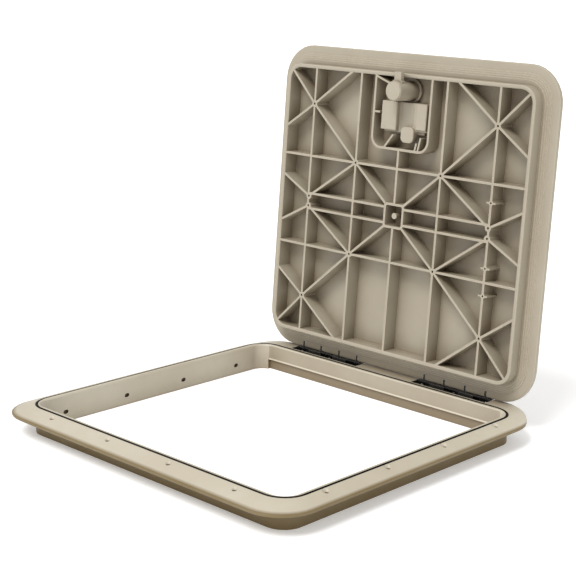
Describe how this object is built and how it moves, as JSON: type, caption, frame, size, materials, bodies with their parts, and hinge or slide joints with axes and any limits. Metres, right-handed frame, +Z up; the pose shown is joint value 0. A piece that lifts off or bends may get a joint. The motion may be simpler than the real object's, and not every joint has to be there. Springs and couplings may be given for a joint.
{
  "type": "deck hatch",
  "caption": "Moulded deck hatch, nearly square: a flanged frame with a hinged, ribbed lid standing open, a quarter-turn latch, a folding pull and a rubber seal.",
  "frame": {"origin": "middle of the hatch's footprint with the lid open, at the skirt's bottom edge", "axes": "+Y from the latch side to the hinge side, +Z up out of the deck, +X along the hinges to the right"},
  "size_m": [0.508, 0.526, 0.481],
  "materials": {
    "beige_plastic": "moulded, fine satin grain",
    "gasket_rubber": "dull, soft",
    "black_plastic": "smooth, slightly glossy",
    "steel": "bright stainless"
  },
  "bodies": {
    "frame_body": {"frame": "beige_plastic", "frame_gasket": "gasket_rubber", "keeper": "steel", "keeper_screw_1": "steel", "keeper_screw_2": "steel", "hinge_left_frame_leaf": "black_plastic", "hinge_left_pin": "steel", "hinge_left_frame_screw_1": "steel", "hinge_left_frame_screw_2": "steel", "hinge_left_frame_screw_3": "steel", "hinge_right_frame_leaf": "black_plastic", "hinge_right_pin": "steel", "hinge_right_frame_screw_1": "steel", "hinge_right_frame_screw_2": "steel", "hinge_right_frame_screw_3": "steel"},
    "lid_body": {"lid": "beige_plastic", "pull_cup": "beige_plastic", "pull_pin": "steel", "latch_barrel": "beige_plastic", "barrel_ring": "beige_plastic", "hinge_left_lid_leaf": "black_plastic", "hinge_left_lid_screw_1": "steel", "hinge_left_lid_screw_2": "steel", "hinge_left_lid_screw_3": "steel", "hinge_right_lid_leaf": "black_plastic", "hinge_right_lid_screw_1": "steel", "hinge_right_lid_screw_2": "steel", "hinge_right_lid_screw_3": "steel"},
    "knob_body": {"latch_knob": "beige_plastic", "latch_spindle": "steel", "knob_screw": "steel"},
    "bolt_body": {"latch_bolt": "beige_plastic"},
    "pull_body": {"pull_handle": "beige_plastic"}
  },
  "joints": [
    {"name": "lid_hinge", "type": "hinge", "parent": "frame_body", "child": "lid_body", "pos_m": [0, 0.21604, 0.0315], "axis": [1, 0, 0], "range_deg": [0, 93.6]},
    {"name": "knob_turn", "type": "hinge", "parent": "lid_body", "child": "knob_body", "pos_m": [0, 0.24827, 0.43076], "axis": [0, -0.998, 0.0628], "range_deg": [0, 90]},
    {"name": "bolt_slide", "type": "slide", "parent": "lid_body", "child": "bolt_body", "axis": [0, 0.0628, 0.998], "range_m": [0, 0.008]},
    {"name": "pull_lift", "type": "hinge", "parent": "lid_body", "child": "pull_body", "pos_m": [0, 0.25532, 0.40908], "axis": [1, 0, 0], "range_deg": [0, 80]}
  ],
  "couplings": [
    {"joint": "bolt_slide", "follows": "knob_turn", "m_per_rad": 0.005092}
  ]
}
